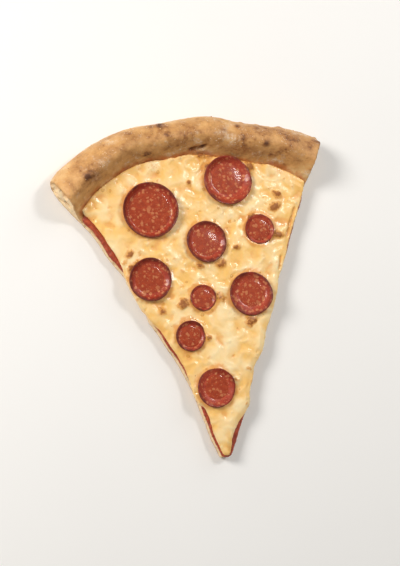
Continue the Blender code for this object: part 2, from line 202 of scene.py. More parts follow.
class Nodes:
    """A node tree and the ways in which nodes are added to it."""

    def __init__(self, tree):
        self.tree = tree

    def add(self, kind, settings=None, values=None, output=0):
        """A new node: its settings first, then the values or links of its sockets. Gives one output."""
        node = self.tree.nodes.new(kind)
        for name, setting in (settings or {}).items():
            if name == "stops":
                self.set_stops(node.color_ramp, setting)
            else:
                setattr(node, name, setting)
        for name, value in (values or {}).items():
            if isinstance(value, Value):
                self.tree.links.new(value.socket, node.inputs[name])
            else:
                node.inputs[name].default_value = value
        return Value(self, node.outputs[output])

    @staticmethod
    def set_stops(ramp, stops):
        while len(ramp.elements) < len(stops):
            ramp.elements.new(1.0)
        for element, (place, colour) in zip(ramp.elements, stops):
            element.position = place
            element.color = (*colour, 1.0)

    def number(self, operation, *values):
        return self.add("ShaderNodeMath", {"operation": operation}, dict(enumerate(values)))

    def vector(self, operation, *values, output=0):
        return self.add("ShaderNodeVectorMath", {"operation": operation}, dict(enumerate(values)), output)

    def sum(self, operation, first, second):
        """A sum of numbers or of vectors, or a vector times a number."""
        vectors = [value for value in (first, second) if is_vector(value)]
        if not vectors:
            return self.number(operation, first, second)
        if operation == "MULTIPLY" and len(vectors) == 1:
            values = {0: vectors[0], "Scale": second if vectors[0] is first else first}
            return self.add("ShaderNodeVectorMath", {"operation": "SCALE"}, values)
        return self.vector(operation, first, second)

    def most(self, first, second):
        """The larger of two numbers."""
        return self.number("MAXIMUM", first, second)

    def circle(self, angle):
        """The cosine and the sine of an angle."""
        return self.number("COSINE", angle), self.number("SINE", angle)

    def dot(self, first, second):
        return self.vector("DOT_PRODUCT", first, second, output="Value")

    def length(self, vector):
        return self.vector("LENGTH", vector, output="Value")

    def parts(self, vector):
        """The x, y and z of a vector."""
        x = self.add("ShaderNodeSeparateXYZ", {}, {0: vector})
        return x, x.output("Y"), x.output("Z")

    def joined(self, x, y, z):
        return self.add("ShaderNodeCombineXYZ", {}, {0: x, 1: y, 2: z})

    def within(self, value):
        """The value, kept from 0 to 1."""
        return self.add("ShaderNodeClamp", {}, {0: value})

    def smooth(self, value, start, end):
        """Goes smoothly from 0 at start to 1 at end, and stays there beyond them."""
        values = {0: value, 1: start, 2: end}
        return self.add("ShaderNodeMapRange", {"interpolation_type": "SMOOTHSTEP"}, values)

    def noise(self, point, size, detail=2.0, roughness=0.5):
        """Cloudy noise from 0 to 1 with lumps of about the given size."""
        values = {"Vector": point, "Scale": 1 / size, "Detail": detail, "Roughness": roughness}
        return self.add("ShaderNodeTexNoise", {}, values)

    def swing(self, point, size, detail=2.0):
        """Noise from about -1 to 1."""
        return (self.noise(point, size, detail) - 0.5) * 2.0

    def drift(self, point, size):
        """Noise that differs along each axis, from about -0.5 to 0.5."""
        noise = self.add("ShaderNodeTexNoise", {}, {"Vector": point, "Scale": 1 / size}, "Color")
        return noise - (0.5, 0.5, 0.5)

    def cells(self, point, size, feature="F1", level=False):
        """The distance to the nearest cell's middle, as a share of the size. Level cells stand upright."""
        settings = {"voronoi_dimensions": "2D" if level else "3D", "feature": feature}
        return self.add("ShaderNodeTexVoronoi", settings, {"Vector": point, "Scale": 1 / size})

    def domes(self, point, size, reach, share, level=False):
        """Round bumps from 0 to 1 in a share of the cells, some of them only half as wide."""
        near = self.cells(point, size, level=level)
        picked, width, _ = self.parts(near.output("Color"))
        picked = self.smooth(picked, 1 - share, 1.02 - share)
        return self.smooth(near, reach * (0.5 + 0.5 * width), 0.0) * picked

    def blend(self, factor, first, second):
        """A mix of two colours. The node's sockets for colours are its inputs 6 and 7 and its output 2."""
        values = {0: factor}
        for socket, colour in ((6, first), (7, second)):
            values[socket] = colour if isinstance(colour, Value) else (*colour, 1.0)
        return self.add("ShaderNodeMix", {"data_type": "RGBA"}, values, 2)


class Shape(Nodes):
    """A Geometry Nodes tree with named inputs that ends in Realize Instances and Set Material."""

    KINDS = {int: "NodeSocketInt", float: "NodeSocketFloat", tuple: "NodeSocketVector"}

    def __init__(self, name, numbers, objects=()):
        super().__init__(bpy.data.node_groups.new(name, "GeometryNodeTree"))
        sockets = {"Geometry": "NodeSocketGeometry"}
        sockets.update({label: "NodeSocketObject" for label in objects})
        sockets.update({label: self.KINDS[type(number)] for label, number in numbers.items()})
        sockets["Material"] = "NodeSocketMaterial"
        face = self.tree.interface
        face.new_socket("Geometry", in_out="OUTPUT", socket_type="NodeSocketGeometry")
        for label, kind in sockets.items():
            face.new_socket(label, in_out="INPUT", socket_type=kind)
        self.given = self.tree.nodes.new("NodeGroupInput")
        self.result = self.tree.nodes.new("NodeGroupOutput")
        self.numbers = numbers
        self.point = self.add("GeometryNodeInputPosition")

    def input(self, name):
        return Value(self, self.given.outputs[name])

    def normal(self):
        return self.add("GeometryNodeInputNormal")

    def other_mesh(self, name):
        """The mesh of an object that is given as an input."""
        return self.add("GeometryNodeObjectInfo", {}, {"Object": self.input(name)}, "Geometry")

    def distance_to(self, name):
        """The distance from each point to the surface of an object that is given as an input."""
        values = {0: self.other_mesh(name)}
        return self.add("GeometryNodeProximity", {"target_element": "FACES"}, values, "Distance")

    def ball(self):
        """A sphere of radius 1, with as many faces as the inputs say."""
        sizes = {"Segments": self.input("Segments"), "Rings": self.input("Rings"), "Radius": 1.0}
        return self.add("GeometryNodeMeshUVSphere", {}, sizes)

    def copies(self, points, thing, turn, scale):
        """A copy of a mesh at each point, as one plain mesh."""
        values = {"Points": points, "Instance": thing, "Rotation": turn, "Scale": scale}
        placed = self.add("GeometryNodeInstanceOnPoints", {}, values)
        return self.add("GeometryNodeRealizeInstances", {}, {"Geometry": placed})

    def moved(self, geometry, **places):
        """The mesh with its points moved by an Offset or to a Position."""
        return self.add("GeometryNodeSetPosition", {}, {"Geometry": geometry, **places})

    def evened(self, geometry):
        """The mesh with its small steps smoothed away."""
        values = {"Value": self.point, "Iterations": 2}
        calm = self.add("GeometryNodeBlurAttribute", {"data_type": "FLOAT_VECTOR"}, values)
        return self.moved(geometry, Position=calm)

    def storing(self, geometry, **masks):
        """The mesh with these values stored on its points, for the material."""
        for name, value in masks.items():
            values = {"Geometry": geometry, "Name": name, "Value": value}
            geometry = self.add("GeometryNodeStoreNamedAttribute", {"data_type": "FLOAT"}, values)
        return geometry

    def stored(self, name, kind="FLOAT"):
        """A value that was stored on a mesh."""
        return self.add("GeometryNodeInputNamedAttribute", {"data_type": kind}, {"Name": name})

    def random(self, low, high, seed):
        """A random number. The node's sockets for numbers are its inputs 2 and 3 and its output 1."""
        return self.add("FunctionNodeRandomValue", {"data_type": "FLOAT"}, {2: low, 3: high, "Seed": seed}, 1)

    def end(self, geometry):
        smooth = self.add("GeometryNodeSetShadeSmooth", {}, {"Geometry": geometry})
        whole = self.add("GeometryNodeRealizeInstances", {}, {"Geometry": smooth})
        values = {"Geometry": whole, "Material": self.input("Material")}
        dressed = self.add("GeometryNodeSetMaterial", {}, values)
        self.tree.links.new(dressed.socket, self.result.inputs[0])

    def put_on(self, thing, look, **objects):
        """Adds the tree to an object as a modifier, with its inputs set."""
        given = {**self.numbers, **objects, "Material": look}
        modifier = thing.modifiers.new(self.tree.name, "NODES")
        modifier.node_group = self.tree
        for item in self.tree.interface.items_tree:
            if item.in_out == "INPUT" and item.name in given:
                modifier[item.identifier] = given[item.name]


class Look(Nodes):
    """A material whose nodes are written as sums."""

    def __init__(self, name, **fixed):
        self.material = bpy.data.materials.new(name)
        self.material.use_nodes = True
        super().__init__(self.material.node_tree)
        self.shader = self.tree.nodes["Principled BSDF"]
        for label, value in fixed.items():
            self.shader.inputs[label.replace("_", " ")].default_value = value
        self.point = self.add("ShaderNodeTexCoord", output="Object")

    def stored(self, name):
        """A value that was stored on the mesh."""
        return self.add("ShaderNodeAttribute", {"attribute_name": name}, output="Fac")

    def cloud(self, size, detail=2.0, roughness=0.5):
        """Cloudy noise from 0 to 1 through the piece."""
        return self.noise(self.point, size, detail, roughness)

    def ramp(self, value, *stops):
        return self.add("ShaderNodeValToRGB", {"stops": stops}, {0: value})

    def feed(self, label, value):
        self.tree.links.new(value.socket, self.shader.inputs[label])

    def bump(self, height, depth, strength=1.0):
        """Fine relief of a depth in metres."""
        values = {"Height": height, "Distance": depth, "Strength": strength}
        self.feed("Normal", self.add("ShaderNodeBump", {}, values))


def dimmed(colour, share):
    return [share * part for part in colour]


# Objects


def new_object(name, data):
    thing = bpy.data.objects.new(name, data)
    bpy.context.scene.collection.objects.link(thing)
    return thing


def merged(node):
    """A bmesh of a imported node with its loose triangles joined."""
    body = bmesh.new()
    body.from_mesh(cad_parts[node].data)
    bmesh.ops.remove_doubles(body, verts=body.verts, dist=MERGE_DISTANCE)
    return body


def mesh_of(name, body):
    mesh = bpy.data.meshes.new(name)
    body.to_mesh(mesh)
    body.free()
    return mesh


def fine_copy(node, name, step):
    """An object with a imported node's shape, in small even faces."""
    thing = new_object(name, mesh_of(name, merged(node)))
    remesh = thing.modifiers.new("even faces", "REMESH")
    remesh.mode = "VOXEL"
    remesh.voxel_size = step * COARSENESS
    return thing


def settled(thing):
    """The object with what its modifiers make as its plain mesh."""
    graph = bpy.context.evaluated_depsgraph_get()
    finished = thing.evaluated_get(graph)
    mesh = bpy.data.meshes.new_from_object(finished, preserve_all_data_layers=True, depsgraph=graph)
    thing.modifiers.clear()
    rough = thing.data
    thing.data = mesh
    bpy.data.meshes.remove(rough)
    mesh.name = thing.name
    return thing


def belongs(piece, slot, *nodes):
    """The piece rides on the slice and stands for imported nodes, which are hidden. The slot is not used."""
    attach(piece, "root")
    if nodes:
        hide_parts(*nodes)


def guide(name, body):
    """An object that other trees measure from. It is dropped when they are done."""
    return new_object(name, mesh_of(name, body))


def drop(thing):
    mesh = thing.data
    bpy.data.objects.remove(thing)
    bpy.data.meshes.remove(mesh)


def rounds_guide():
    whole = bmesh.new()
    for node in ROUNDS:
        whole.from_mesh(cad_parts[node].data)
    return guide("rounds guide", whole)


def skin_guide():
    """The dough's baked skin alone."""
    body = merged("dough")
    centre = Vector(PIZZA_CENTRE)
    other = []
    for face in body.faces:
        away = face.calc_center_median() - centre
        away.z = 0
        sideways = Vector((away.y, -away.x, 0)).normalized()
        cut = abs(face.normal.dot(sideways)) > CUT_FACING
        tip = away.length < TIP_REACH and abs(face.normal.z) < TIP_LEVEL
        covered = away.length < SAUCE_REACH and face.normal.z > SAUCE_LEVEL
        if cut or tip or covered:
            other.append(face)
    bmesh.ops.delete(body, geom=other, context="FACES")
    return guide("skin guide", body)


# Settings


def number_setting(name, description, default, **more):
    return FloatProperty(name=name, description=description, default=default, **more)


def length_setting(name, description, default):
    return number_setting(name, description, default, unit="LENGTH")


def colour_setting(name, description, default):
    limits = {"min": 0, "max": 1}
    return FloatVectorProperty(name=name, description=description, default=default, subtype="COLOR", **limits)


class CrustSettings(PropertyGroup):
    step: length_setting("Face size", "Size of the crust's faces", 0.72 * MM)
    swell: length_setting("Swelling", "Height of the rim's broad humps", 0.7 * MM)
    blister: length_setting("Blisters", "Height of the skin's blisters", 0.9 * MM)
    wrinkle: length_setting("Wrinkles", "Height of the skin's fine wrinkles", 0.42 * MM)
    pore: length_setting("Pores", "Depth of the holes in the cut crumb", 2.6 * MM)
    pale: colour_setting("Pale", "Least baked skin", (0.82, 0.55, 0.25))
    golden: colour_setting("Golden", "Baked skin", (0.66, 0.345, 0.115))
    toasted: colour_setting("Toasted", "Well baked skin", (0.37, 0.155, 0.042))
    charred: colour_setting("Charred", "Darkest spots", (0.12, 0.040, 0.012))
    crumb: colour_setting("Crumb", "Inside of the dough", (0.93, 0.69, 0.41))


class SauceSettings(PropertyGroup):
    step: length_setting("Face size", "Size of the sauce's faces", 0.6 * MM)
    lumps: length_setting("Lumps", "Height of the pulp's lumps", 0.35 * MM)
    red: colour_setting("Red", "Cooked tomato", (0.52, 0.075, 0.016))
    dark: colour_setting("Dark", "Dried tomato", (0.27, 0.03, 0.008))


class CheeseSettings(PropertyGroup):
    step: length_setting("Face size", "Size of the cheese's faces", 0.6 * MM)
    lumps: length_setting("Lumps", "Height of the melted shreds' lumps", 1.0 * MM)
    waves: length_setting("Waves", "Height of the broad waves", 0.6 * MM)
    blister: length_setting("Blisters", "Height of the browned blisters", 0.95 * MM)
    edge: length_setting("Edge", "Unevenness of the side", 0.5 * MM)
    cream: colour_setting("Cream", "Thick cheese", (0.95, 0.75, 0.42))
    yellow: colour_setting("Yellow", "Melted cheese", (0.91, 0.54, 0.155))
    oily: colour_setting("Oily", "Cheese that holds oil", (0.78, 0.34, 0.07))
    golden: colour_setting("Golden", "Lightly browned", (0.70, 0.30, 0.045))
    brown: colour_setting("Brown", "Browned blisters", (0.30, 0.088, 0.012))


class PepperoniSettings(PropertyGroup):
    thickness: length_setting("Thickness", "Thickness of a round", 1.9 * MM)
    steepness: number_setting("Steepness", "How sharply the side turns up", 1.5)
    wave: number_setting("Wave", "Share by which the edge waves", 0.16, subtype="FACTOR", min=0, max=1)
    crinkle: length_setting("Crinkle", "Height of the edge's crinkles", 0.7 * MM)
    segments: IntProperty(name="Segments", description="Faces along the edge of a round", default=112)
    rings: IntProperty(name="Rings", description="Faces across a round", default=52)
    red: colour_setting("Red", "Meat of the floor", (0.50, 0.075, 0.026))
    deep: colour_setting("Deep", "Meat of the side", (0.33, 0.032, 0.013))
    crisp: colour_setting("Crisp", "Crisp edge", (0.105, 0.014, 0.006))
    fat: colour_setting("Fat", "Flecks of fat", (0.76, 0.33, 0.14))


class TrimmingsSettings(PropertyGroup):
    flour: number_setting("Flour", "Specks of flour on a square metre of rim", 150000.0)
    crumbs: number_setting("Crumbs", "Crumbs on a square metre of rim", 16000.0)
    beads: number_setting("Beads", "Beads of oil on a square metre of cheese", 26000.0)
    pool_depth: length_setting("Pool depth", "Depth of the oil in a cup", 0.55 * MM)
    oil: colour_setting("Oil", "Oil in the cups", (0.55, 0.085, 0.012))
    thin_oil: colour_setting("Thin oil", "Oil on the cheese", (0.90, 0.50, 0.10))


class StageSettings(PropertyGroup):
    table: colour_setting("Table", "Colour of the table", (0.90, 0.89, 0.87))
    key: number_setting("Key light", "Power of the main light", 6.0, unit="POWER")
    fill: number_setting("Fill light", "Power of the second light", 1.8, unit="POWER")
    gloss: number_setting("Gloss light", "Power of the small light", 1.7, unit="POWER")
    sky: number_setting("Sky", "Strength of the light from all around", 0.3)


# The crust


def away_from_centre(point):
    """The way in plan from the pizza's centre to each point."""
    return (point - PIZZA_CENTRE) * IN_PLAN


def crease(shape, radius):
    """1 in the short crease along the foot of the rim, 0 elsewhere."""
    x, y, _ = shape.parts(shape.point - PIZZA_CENTRE)
    off_middle = shape.number("ARCTAN2", x, y) - CREASE_ANGLE
    apart = abs(radius - off_middle * CREASE_RISE - CREASE_RADIUS)
    along = shape.smooth(abs(off_middle), CREASE_REACH, 0.5 * CREASE_REACH)
    return along * shape.smooth(apart, 1.5 * MM, 0.2 * MM)


def crumb_holes(shape, warped, rim, edge):
    """0 in solid crumb and 1 deep in a hole: caves in the rim, and small holes all over."""
    flat = warped * (1.0, 1.0, 1.6)
    caves = shape.most(shape.domes(flat, 10 * MM, 0.66, 0.8), shape.domes(flat, 9 * MM, 0.66, 0.8))
    caves = caves * rim * (1 - edge)
    holes = shape.domes(flat + (0.01, 0.02, 0.03), 4.6 * MM, 0.62, 0.8) * (1 - 0.8 * edge)
    pinholes = shape.domes(flat + (0.05, 0.01, 0.02), 2.6 * MM, 0.6, 0.6)
    return shape.smooth(shape.most(caves, shape.most(holes * 0.75, pinholes * 0.4)), 0.08, 0.62)


def crust_shape(settings):
    numbers = {
        "Swell": settings.swell,
        "Blister": settings.blister,
        "Wrinkle": settings.wrinkle,
        "Pore": settings.pore,
    }
    shape = Shape("crust relief", numbers, ("Skin", "Cheese"))
    point, normal = shape.point, shape.normal()
    away = away_from_centre(point)
    radius = shape.length(away)
    sideways = shape.vector("CROSS_PRODUCT", shape.vector("NORMALIZE", away), UP)
    level = shape.parts(normal)[2]

    # Where the dough is cut, where it is rim, and how near the baked skin is
    facing = abs(shape.dot(normal, sideways))
    at_tip = shape.smooth(radius, *TIP_END) * shape.smooth(abs(level), 0.7, 0.3)
    cut = shape.smooth(shape.most(facing, at_tip), 0.5, 0.8)
    rim = shape.smooth(radius, *RIM_FOOT)
    skin = (1 - cut) * shape.smooth(level, -0.95, -0.6)
    baked_depth = 1.2 * MM + shape.noise(point, 4 * MM) * (2.4 * MM)
    edge = shape.smooth(shape.distance_to("Skin"), baked_depth, 0.6 * MM)

    # The relief of the skin and of the cut faces. Like patterns are shifted, so that they don't coincide
    warped = point + shape.drift(point, 11 * MM) * (5 * MM) + CRUST_PATTERN_SHIFT
    humps = shape.swing(point, 17 * MM)
    blisters = shape.domes(warped, 12 * MM, 0.42, 0.5)
    bubbles = shape.domes(warped + (0.03, 0.01, 0.02), 5 * MM, 0.42, 0.40)
    wrinkles = shape.swing(warped, 3.6 * MM, 3.0)
    relief = humps * shape.input("Swell") + blisters * shape.input("Blister")
    relief = relief + bubbles * shape.input("Blister") * 0.35 + wrinkles * shape.input("Wrinkle")
    base_relief = wrinkles * shape.input("Wrinkle") * 0.5
    pore = crumb_holes(shape, warped, rim, edge)
    fold = crease(shape, radius)
    ragged = shape.swing(point, 2.4 * MM) * (0.22 * MM)
    offset = skin * (rim * relief + (1 - rim) * base_relief) + cut * (ragged - pore * shape.input("Pore"))
    offset = offset - skin * fold * (1.0 * MM)

    # How baked the skin is, with shade painted into the crease, and where sauce has stained it
    high = shape.smooth(shape.parts(point)[2], 4 * MM, 21 * MM)
    under = shape.smooth(level, -0.6, -0.95)
    toast = 0.14 + 0.36 * high + 0.46 * shape.swing(point, 24 * MM) + 0.46 * blisters + 0.26 * bubbles
    toast = toast + 0.5 * fold + 0.28 * under
    stain = shape.smooth(shape.distance_to("Cheese"), 4.2 * MM, 0.8 * MM)
    masks = {"cut": cut, "edge": edge, "pore": pore * cut, "toast": toast, "stain": stain}
    given = shape.storing(shape.input("Geometry"), **masks)
    shape.end(shape.moved(shape.evened(given), Offset=normal * offset))
    return shape


def crust_look(settings):
    look = Look(
        "baked crust",
        Subsurface_Weight=0.12,
        Subsurface_Scale=1.5 * MM,
        Subsurface_Radius=(1.0, 0.6, 0.35),
    )
    fine = look.cloud(1.1 * MM, 4.0, 0.6)
    patchy = look.cloud(3.2 * MM, 3.0, 0.6)
    broad = look.cloud(7 * MM, 3.0)
    cut, edge = look.stored("cut"), look.stored("edge")

    # The skin, from pale to charred and darker where shade is painted into the crease, with flour left in
    # patches
    toast = look.stored("toast") + (broad - 0.5) * 0.9 + (fine - 0.5) * 0.32
    toast = toast + (patchy - 0.5) * 1.1 * look.smooth(toast, 0.35, 0.75)
    skin = look.ramp(
        toast,
        (0.0, settings.pale),
        (0.36, settings.golden),
        (0.72, settings.toasted),
        (1.0, settings.charred),
    )
    floury = look.smooth(look.cloud(9 * MM, 5.0, 0.65), 0.52, 0.66) * look.smooth(fine, 0.35, 0.6)
    floury = floury * look.smooth(toast, 0.85, 0.5)
    skin = look.blend(floury * 0.45, skin, FLOUR_DUST)

    # The cut crumb, with shade painted into its holes, and darker next to the skin
    crumb = look.blend(look.smooth(fine, 0.3, 0.7), settings.crumb, dimmed(settings.crumb, 0.88))
    crumb = look.blend(look.smooth(look.stored("pore"), 0.05, 0.8) * 0.85, crumb, PAINTED_HOLE_SHADE)
    crumb = look.blend(look.smooth(edge, 0.1, 0.9) * 0.85, crumb, BAKED_EDGE)

    stain = look.stored("stain") * look.smooth(broad, 0.30, 0.62) * (1 - cut)
    look.feed("Base Color", look.blend(stain * 0.75, look.blend(cut, skin, crumb), SAUCE_STAIN))
    look.feed("Roughness", 0.52 + 0.3 * cut + 0.25 * floury - 0.2 * stain)
    pits = look.smooth(look.cells(look.point, 0.9 * MM), 0.5, 0.1)
    look.bump(fine + (look.cloud(0.5 * MM) - pits * cut) * 0.5, 0.35 * MM, 0.7)
    return look.material


class PIZZA_OT_crust(Operator):
    """Builds the dough with its puffed rim, cut faces and baked skin"""

    bl_idname = "pizza.crust"
    bl_label = "Crust"

    def execute(self, context):
        settings = context.scene.pizza_crust
        skin = skin_guide()
        cheese = guide("cheese guide", merged("cheese"))
        piece = fine_copy("dough", "crust", settings.step)
        crust_shape(settings).put_on(piece, crust_look(settings), Skin=skin, Cheese=cheese)
        settled(piece)
        drop(skin)
        drop(cheese)
        belongs(piece, "baked_dough", "dough")
        return {"FINISHED"}


# The sauce


def sauce_shape(settings):
    shape = Shape("sauce relief", {"Lumps": settings.lumps})
    point, normal = shape.point, shape.normal()
    side = shape.smooth(abs(shape.parts(normal)[2]), 0.8, 0.3)
    lumps = shape.swing(point, 3.2 * MM) * shape.input("Lumps")
    bulges = shape.noise(point, 9 * MM, 3.0) * (1.9 * MM) - 0.3 * MM
    offset = lumps + bulges * side + (1 - side) * (0.3 * MM)
    shape.end(shape.moved(shape.evened(shape.input("Geometry")), Offset=normal * offset))
    return shape


def sauce_look(settings):
    look = Look(
        "cooked tomato sauce",
        Subsurface_Weight=0.15,
        Subsurface_Scale=2 * MM,
        Coat_Weight=0.3,
        Coat_Roughness=0.15,
    )
    pulp = look.cloud(2.2 * MM, 4.0, 0.6)
    colour = look.blend(look.smooth(pulp, 0.3, 0.7), settings.dark, settings.red)
    bits = look.domes(look.point, 2.6 * MM, 0.3, 0.3)
    look.feed("Base Color", look.blend(bits * 0.7, colour, PULP_BIT))
    look.feed("Roughness", 0.3 + 0.3 * pulp)
    look.bump(pulp, 0.4 * MM, 0.8)
    return look.material


class PIZZA_OT_sauce(Operator):
    """Builds the layer of tomato sauce that shows at the cuts"""

    bl_idname = "pizza.sauce"
    bl_label = "Sauce"

    def execute(self, context):
        settings = context.scene.pizza_sauce
        piece = fine_copy("tomato_sauce", "sauce", settings.step)
        sauce_shape(settings).put_on(piece, sauce_look(settings))
        belongs(settled(piece), "tomato_sauce", "tomato_sauce")
        return {"FINISHED"}


# The cheese


def distance_from_line(shape, start, end):
    """The distance in plan from each point to a straight line between two places."""
    start, end = (Vector((*place, 0)) * MM for place in (start, end))
    run = end - start
    away = (shape.point - tuple(start)) * IN_PLAN
    share = shape.within(shape.dot(away, tuple(run)) * (1 / run.length_squared))
    return shape.length(away - share * tuple(run))


def cheese_shape(settings):
    numbers = {
        "Lumps": settings.lumps,
        "Waves": settings.waves,
        "Blister": settings.blister,
        "Edge": settings.edge,
    }
    shape = Shape("melted cheese relief", numbers, ("Rounds",))
    point, normal = shape.point, shape.normal()
    radius = shape.length(away_from_centre(point))
    level = shape.parts(normal)[2]
    top = shape.smooth(level, 0.25, 0.75)
    side = shape.smooth(abs(level), 0.75, 0.3)
    under = shape.smooth(level, -0.3, -0.8)
    apart = shape.distance_to("Rounds")
    near = shape.smooth(apart, 3.0 * MM, 0.5 * MM)

    # Lumps of melted shreds, strands, broad waves, blisters with wider scorched rings, bubbles and pits
    warped = point + shape.drift(point, 9 * MM) * (9 * MM)
    flat = warped * (1.0, 1.0, 0.2)
    shreds = 1 - shape.cells(flat, 8.2 * MM, "SMOOTH_F1") * 1.7
    strands = shape.most(1 - abs(shape.swing(flat + (0.02, 0.05, 0.0), 9.5 * MM, 1.0)) * 2.6, 0.0)
    waves = shape.swing(point, 18 * MM, 1.0)
    spots = warped + (0.04, 0.02, 0.0)
    blisters = shape.domes(spots, 13 * MM, 0.42, 0.36, level=True)
    scorched = shape.domes(spots, 13 * MM, 0.72, 0.36, level=True)
    bubbles = shape.domes(warped + (0.01, 0.07, 0.0), 5.2 * MM, 0.40, 0.22, level=True)
    popped = shape.domes(warped + (0.06, 0.03, 0.0), 8 * MM, 0.24, 0.16, level=True)
    fine = shape.swing(point, 2.2 * MM)

    relief = (shreds * 0.6 + strands * 0.5 - 0.35) * shape.input("Lumps") + waves * shape.input("Waves")
    relief = relief + blisters * shape.input("Blister") + bubbles * shape.input("Blister") * 0.45
    relief = relief - popped * (0.5 * MM) + fine * (0.06 * MM)
    for start, end in CHEESE_FOLDS:
        fold = shape.smooth(distance_from_line(shape, start, end), 1.3 * MM, 0.2 * MM)
        relief = relief - fold * (0.8 * MM)
    lift = near * (0.55 * MM) + 0.1 * MM
    uneven = shape.swing(point * (1.0, 1.0, 0.5), 5 * MM) * shape.input("Edge")
    offset = top * (relief * (1 - near * 0.75) + lift) + side * (uneven + 0.2 * MM) + under * (0.35 * MM)
    droop = shape.smooth(shape.noise(point * IN_PLAN, 8 * MM), 0.45, 0.68) * (1.5 * MM)
    droop = droop * (1 - top) * shape.smooth(abs(level), 0.98, 0.7)

    # Oil gathers in the hollows and round the pepperoni, and what stands up is browned
    sag = shape.smooth(relief / shape.input("Lumps"), 0.15, -0.55)
    halo = shape.smooth(apart - shape.swing(point, 5 * MM) * (2.4 * MM), 4.4 * MM, 0.3 * MM)
    halo = halo * shape.noise(point, 8 * MM) * 1.9
    patches = shape.smooth(shape.noise(point + (0.3, 0.1, 0.0), 30 * MM), 0.42, 0.62)
    peaks = shape.smooth(shreds, 0.35, 0.95) * patches
    brown = blisters * 0.85 + scorched * 0.6 + bubbles * 0.8 * patches + peaks * 0.8
    brown = brown + shape.smooth(radius, *BROWNER_CHEESE) * 0.35
    masks = {"oil": shape.most(sag * 0.75, halo), "brown": brown, "thick": relief / shape.input("Lumps")}
    calm = shape.evened(shape.storing(shape.input("Geometry"), **masks))
    shape.end(shape.moved(calm, Offset=normal * offset - shape.joined(0.0, 0.0, droop)))
    return shape


def cheese_look(settings):
    look = Look(
        "melted cheese",
        Subsurface_Weight=0.15,
        Subsurface_Scale=1.2 * MM,
        Subsurface_Radius=(1.0, 0.7, 0.35),
        Specular_IOR_Level=0.4,
        Coat_Roughness=0.15,
    )
    broad = look.cloud(13 * MM, 3.0)
    fine = look.cloud(1.6 * MM, 4.0, 0.6)
    thick = look.smooth(look.stored("thick"), -0.5, 0.8)
    oil = look.stored("oil")
    colour = look.blend(thick * 0.7 + (broad - 0.5) * 2.4, settings.yellow, settings.cream)
    shows = look.smooth(oil + (fine - 0.5) * 0.5 + (broad - 0.5) * 1.2, 0.15, 0.85)
    colour = look.blend(shows * 0.85, colour, settings.oily)
    freckles = look.smooth(look.cells(look.point, 2.4 * MM), 0.35, 0.05) * look.smooth(broad, 0.5, 0.65)
    brown = look.stored("brown") + (fine - 0.5) * 0.8 + (broad - 0.5) * 0.5 + freckles * 0.25
    colour = look.blend(look.smooth(brown, 0.25, 0.85) * 0.85, colour, settings.golden)
    colour = look.blend(look.smooth(brown + (fine - 0.5) * 1.2, 0.75, 1.35) * 0.9, colour, settings.brown)
    browned = look.smooth(brown, 0.5, 1.1)
    look.feed("Base Color", colour)
    look.feed("Roughness", 0.43 - 0.14 * oil + 0.2 * (fine - 0.5) + 0.15 * browned)
    look.feed("Coat Weight", (0.3 + look.smooth(oil, 0.1, 0.8) * 0.4) * (1 - 0.8 * browned))
    look.bump(fine * 0.6 + look.cloud(5 * MM) * 2.0, 0.3 * MM, 0.5)
    return look.material


class PIZZA_OT_cheese(Operator):
    """Builds the melted cheese with its lumps, blisters and uneven edge"""

    bl_idname = "pizza.cheese"
    bl_label = "Cheese"

    def execute(self, context):
        settings = context.scene.pizza_cheese
        rounds = rounds_guide()
        piece = fine_copy("cheese", "cheese_layer", settings.step)
        cheese_shape(settings).put_on(piece, cheese_look(settings), Rounds=rounds)
        settled(piece)
        drop(rounds)
        belongs(piece, "melted_cheese", "cheese")
        return {"FINISHED"}


# The pepperoni


def round_facts(number):
    """(middle of the underside, tilt, radius, floor radius, floor shift) of a round, from its number."""
    distance, angle, radius, floor_share, shift_x, shift_y = PEPPERONI[number - 1]
    angle *= DEGREE
    away = Vector((math.sin(angle), math.cos(angle), 0)) * distance * MM
    place = Vector(PIZZA_CENTRE) + away + Vector((0, 0, CHEESE_TOP - PEPPERONI_SINK))
    tilt = (CUP_TILT * math.sin(1.7 * number), CUP_TILT * math.cos(2.3 * number), 0.0)
    return place, tilt, radius * MM, floor_share * radius * MM, (shift_x * MM, shift_y * MM)


def coin(shape, half):
    """(turn, distance out, distance above the middle) of a coin with a round edge, from a sphere."""
    x, y, z = shape.parts(shape.point)
    off_axis = shape.number("SQRT", x * x + y * y)
    turn = shape.number("ARCTAN2", y, x)
    polar = shape.number("ARCTAN2", off_axis, abs(z)) / (math.pi / 2)

    # The flat part comes first, then a half turn at the edge
    flat_share = 0.86
    along = shape.number("MINIMUM", polar / flat_share, 1.0)
    bend = shape.most(polar - flat_share, 0.0) * (math.pi / 2 / (1 - flat_share))
    bend_cosine, bend_sine = shape.circle(bend)
    out = (shape.input("Radius") - half) * along + half * bend_sine
    aside = shape.number("SIGN", z) * half * bend_cosine
    return turn, out, aside


